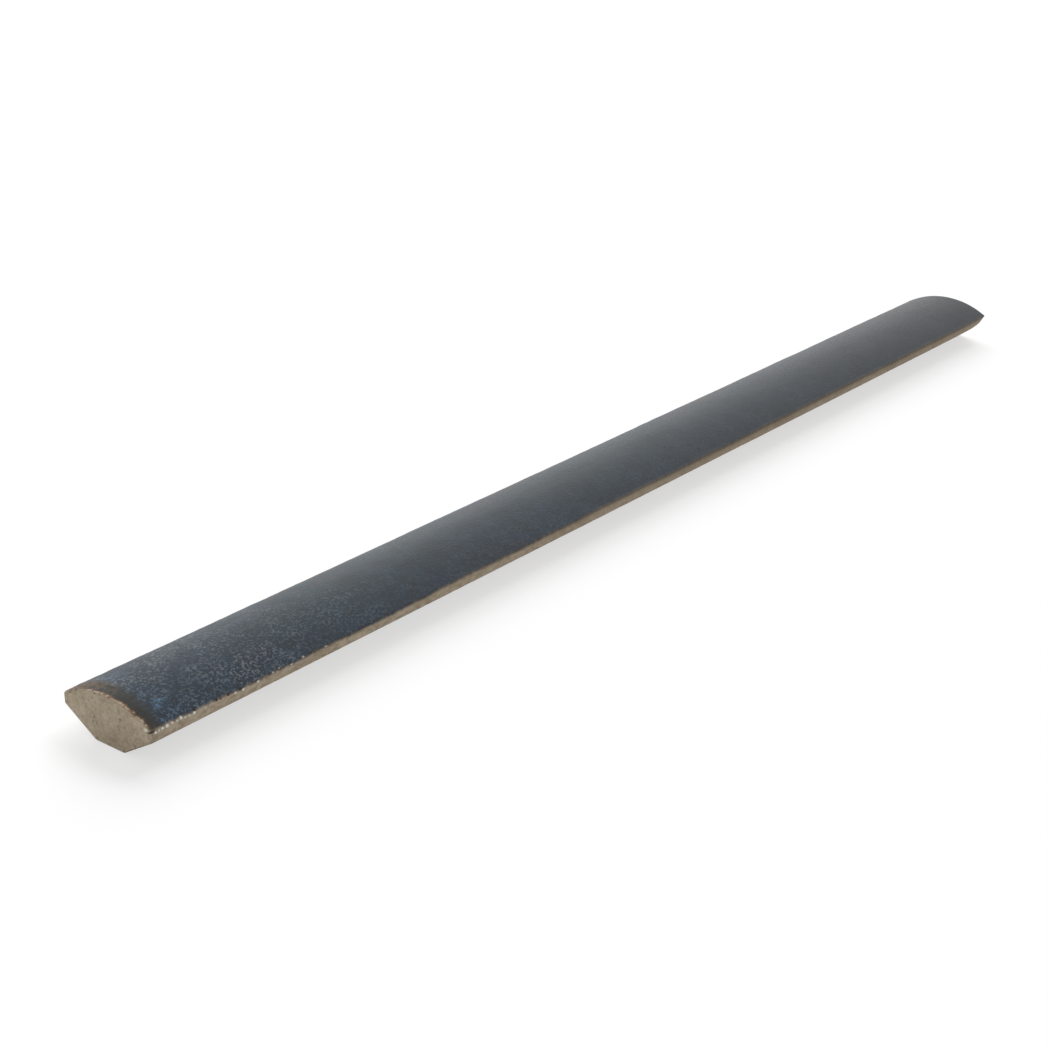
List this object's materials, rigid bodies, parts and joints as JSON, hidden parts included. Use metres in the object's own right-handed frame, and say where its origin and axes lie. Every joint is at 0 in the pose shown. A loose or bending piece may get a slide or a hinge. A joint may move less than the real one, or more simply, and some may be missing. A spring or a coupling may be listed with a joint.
{
  "type": "porcelain trim tile",
  "caption": "Slim bar-shaped porcelain edge trim with a convex satin-glazed crown, upright unglazed side edges, slanted flanks and a narrow flat back for bedding.",
  "frame": {"origin": "middle of the flat back, under the middle of the length, on the surface that the tile lies on", "axes": "+X along the length, +Y across the width, +Z from the back towards the glazed crown"},
  "size_m": [0.2, 0.0152, 0.0066],
  "materials": {
    "glazed_porcelain": "satin"
  },
  "bodies": {
    "root": {"trim_tile": "glazed_porcelain"}
  },
  "joints": []
}
